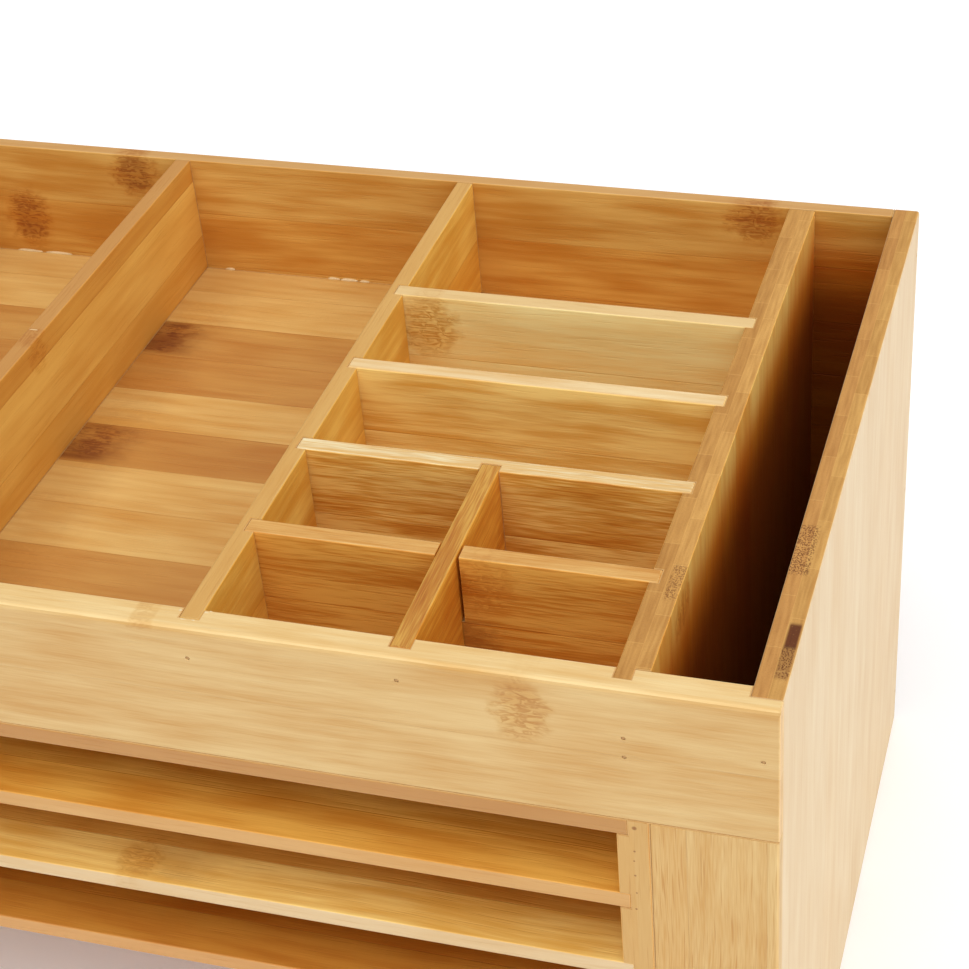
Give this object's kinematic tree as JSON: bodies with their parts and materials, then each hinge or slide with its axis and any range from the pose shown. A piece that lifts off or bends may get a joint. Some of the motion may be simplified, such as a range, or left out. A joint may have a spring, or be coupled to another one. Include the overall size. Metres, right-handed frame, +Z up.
{
  "type": "desktop organizer",
  "caption": "Bamboo desktop organizer: divided top tray with a deep side slot, letter shelves below it and an open lower bay, joined from housed and pinned boards.",
  "frame": {"origin": "middle of the footprint, on the surface that the organizer stands on", "axes": "+X towards the right end with the side slot, -Y towards the open front, +Z up"},
  "size_m": [0.352, 0.245, 0.218],
  "materials": {
    "rail_bamboo": "light laminated bamboo, satin lacquer",
    "side_bamboo": "pale laminated bamboo, upright grain, satin lacquer",
    "divider_bamboo": "laminated bamboo, satin lacquer",
    "board_bamboo": "warm laminated bamboo in strips, satin lacquer",
    "brad_steel": "plain brad wire"
  },
  "bodies": {
    "root": {"back_brad_center_long_divider_1": "brad_steel", "back_brad_center_long_divider_2": "brad_steel", "back_brad_left_long_divider_1": "brad_steel", "back_brad_left_long_divider_2": "brad_steel", "back_brad_letter_shelf_bottom_1": "brad_steel", "back_brad_letter_shelf_bottom_2": "brad_steel", "back_brad_letter_shelf_middle_1": "brad_steel", "back_brad_letter_shelf_middle_2": "brad_steel", "back_brad_letter_shelf_top_1": "brad_steel", "back_brad_letter_shelf_top_2": "brad_steel", "back_brad_slot_floor_1": "brad_steel", "back_brad_slot_partition_1": "brad_steel", "back_brad_slot_partition_2": "brad_steel", "back_brad_slot_partition_3": "brad_steel", "back_brad_slot_partition_4": "brad_steel", "back_brad_tray_floor_1": "brad_steel", "back_brad_tray_floor_2": "brad_steel", "back_panel": "board_bamboo", "center_long_divider": "divider_bamboo", "cross_divider_1": "divider_bamboo", "cross_divider_2": "divider_bamboo", "cross_divider_3": "divider_bamboo", "cross_divider_4": "divider_bamboo", "front_rail": "rail_bamboo", "left_long_divider": "divider_bamboo", "left_side_panel": "side_bamboo", "letter_shelf_bottom": "board_bamboo", "letter_shelf_middle": "board_bamboo", "letter_shelf_top": "board_bamboo", "rail_brad_center_divider": "brad_steel", "rail_brad_left_divider": "brad_steel", "rail_brad_left_side": "brad_steel", "rail_brad_partition_lower": "brad_steel", "rail_brad_partition_upper": "brad_steel", "rail_brad_right_side": "brad_steel", "rail_brad_short_divider": "brad_steel", "right_side_panel": "side_bamboo", "short_divider": "divider_bamboo", "side_brad_left_1": "brad_steel", "side_brad_left_2": "brad_steel", "side_brad_left_3": "brad_steel", "side_brad_right_1": "brad_steel", "side_brad_right_2": "brad_steel", "side_brad_right_3": "brad_steel", "slot_floor": "board_bamboo", "slot_front_panel": "rail_bamboo", "slot_partition": "side_bamboo", "tray_floor": "board_bamboo"}
  },
  "joints": []
}
